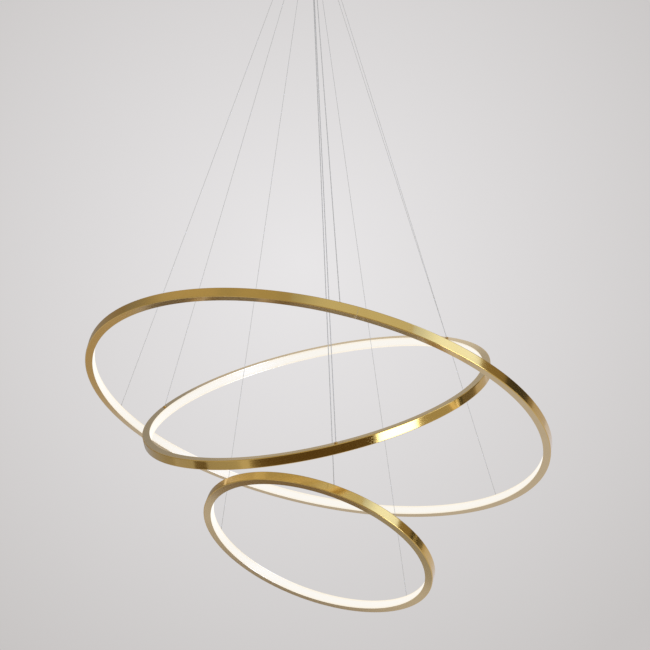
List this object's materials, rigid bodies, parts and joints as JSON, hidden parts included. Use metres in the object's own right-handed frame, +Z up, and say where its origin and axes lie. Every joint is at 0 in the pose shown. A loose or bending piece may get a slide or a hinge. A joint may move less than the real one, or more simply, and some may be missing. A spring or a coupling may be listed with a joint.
{
  "type": "led ring chandelier",
  "caption": "Brass chandelier of tilted LED rings, each ring on thin wires that rise to its own turning collar on one stem below a round ceiling canopy.",
  "frame": {"origin": "centre of the mounting plate's top face, on the ceiling", "axes": "+Z up along the stem, +X to the viewer's right in the picture, +Y away from the viewer"},
  "size_m": [0.7826, 0.786, 1.3235],
  "materials": {
    "ring_brass": "brushed outer face, satin edges",
    "canopy_brass": "satin",
    "fitting_brass": "polished",
    "opal_diffuser": "opal, lit from behind",
    "led_board": "white lacquer",
    "led_chips": "phosphor coated",
    "zinc_steel": "zinc plated",
    "steel_wire": "stranded, bright",
    "clear_cable": "clear sheath over tinned strands",
    "dark_screw": "blackened",
    "driver_case": "fine matt",
    "white_plastic": "smooth matt",
    "black_rubber": "matt",
    "grey_lead": "smooth sheath",
    "red_lead": "smooth sheath"
  },
  "bodies": {
    "canopy": {"mounting_plate": "zinc_steel", "canopy_cover": "canopy_brass", "canopy_screws": "fitting_brass", "hanger_bracket": "zinc_steel", "bracket_screws": "zinc_steel", "large_driver": "driver_case", "medium_driver": "driver_case", "small_driver": "driver_case", "driver_screws": "zinc_steel", "mains_terminal_block": "white_plastic", "output_terminal_block": "white_plastic", "mains_grommet": "black_rubber", "mains_leads": "grey_lead", "output_leads": "red_lead"},
    "gimbal": {"gimbal_link": "fitting_brass", "gimbal_pins": "zinc_steel", "pin_clips": "zinc_steel"},
    "stem": {"swivel_fork": "fitting_brass", "threaded_tube": "fitting_brass", "head_nut": "zinc_steel", "spacer_sleeves": "fitting_brass", "lock_nut": "fitting_brass", "finial": "fitting_brass"},
    "large_ring": {"large_ring_profile": "ring_brass", "large_diffuser": "opal_diffuser", "large_led_board": "led_board", "large_leds": "led_chips", "large_splice_plate": "zinc_steel", "large_feed_connector": "white_plastic", "large_wire_bushes": "fitting_brass", "large_support_wires": "steel_wire", "large_power_cable": "clear_cable", "large_collar": "fitting_brass", "large_collar_screws": "dark_screw"},
    "medium_ring": {"medium_ring_profile": "ring_brass", "medium_diffuser": "opal_diffuser", "medium_led_board": "led_board", "medium_leds": "led_chips", "medium_splice_plate": "zinc_steel", "medium_feed_connector": "white_plastic", "medium_wire_bushes": "fitting_brass", "medium_support_wires": "steel_wire", "medium_power_cable": "clear_cable", "medium_collar": "fitting_brass", "medium_collar_screws": "dark_screw"},
    "small_ring": {"small_ring_profile": "ring_brass", "small_diffuser": "opal_diffuser", "small_led_board": "led_board", "small_leds": "led_chips", "small_splice_plate": "zinc_steel", "small_feed_connector": "white_plastic", "small_wire_bushes": "fitting_brass", "small_support_wires": "steel_wire", "small_power_cable": "clear_cable", "small_collar": "fitting_brass", "small_collar_screws": "dark_screw"}
  },
  "joints": [
    {"name": "swing_front_back", "type": "hinge", "parent": "canopy", "child": "gimbal", "pos_m": [0, 0, -0.017], "axis": [1, 0, 0], "range_deg": [-10, 10]},
    {"name": "swing_side", "type": "hinge", "parent": "gimbal", "child": "stem", "pos_m": [0, 0, -0.03], "axis": [0, 1, 0], "range_deg": [-10, 10]},
    {"name": "large_ring_turn", "type": "hinge", "parent": "stem", "child": "large_ring", "pos_m": [0, 0, -0.073], "axis": [0, 0, 1], "range_deg": [-170, 170]},
    {"name": "medium_ring_turn", "type": "hinge", "parent": "stem", "child": "medium_ring", "pos_m": [0, 0, -0.101], "axis": [0, 0, 1], "range_deg": [-170, 170]},
    {"name": "small_ring_turn", "type": "hinge", "parent": "stem", "child": "small_ring", "pos_m": [0, 0, -0.129], "axis": [0, 0, 1], "range_deg": [-170, 170]}
  ]
}
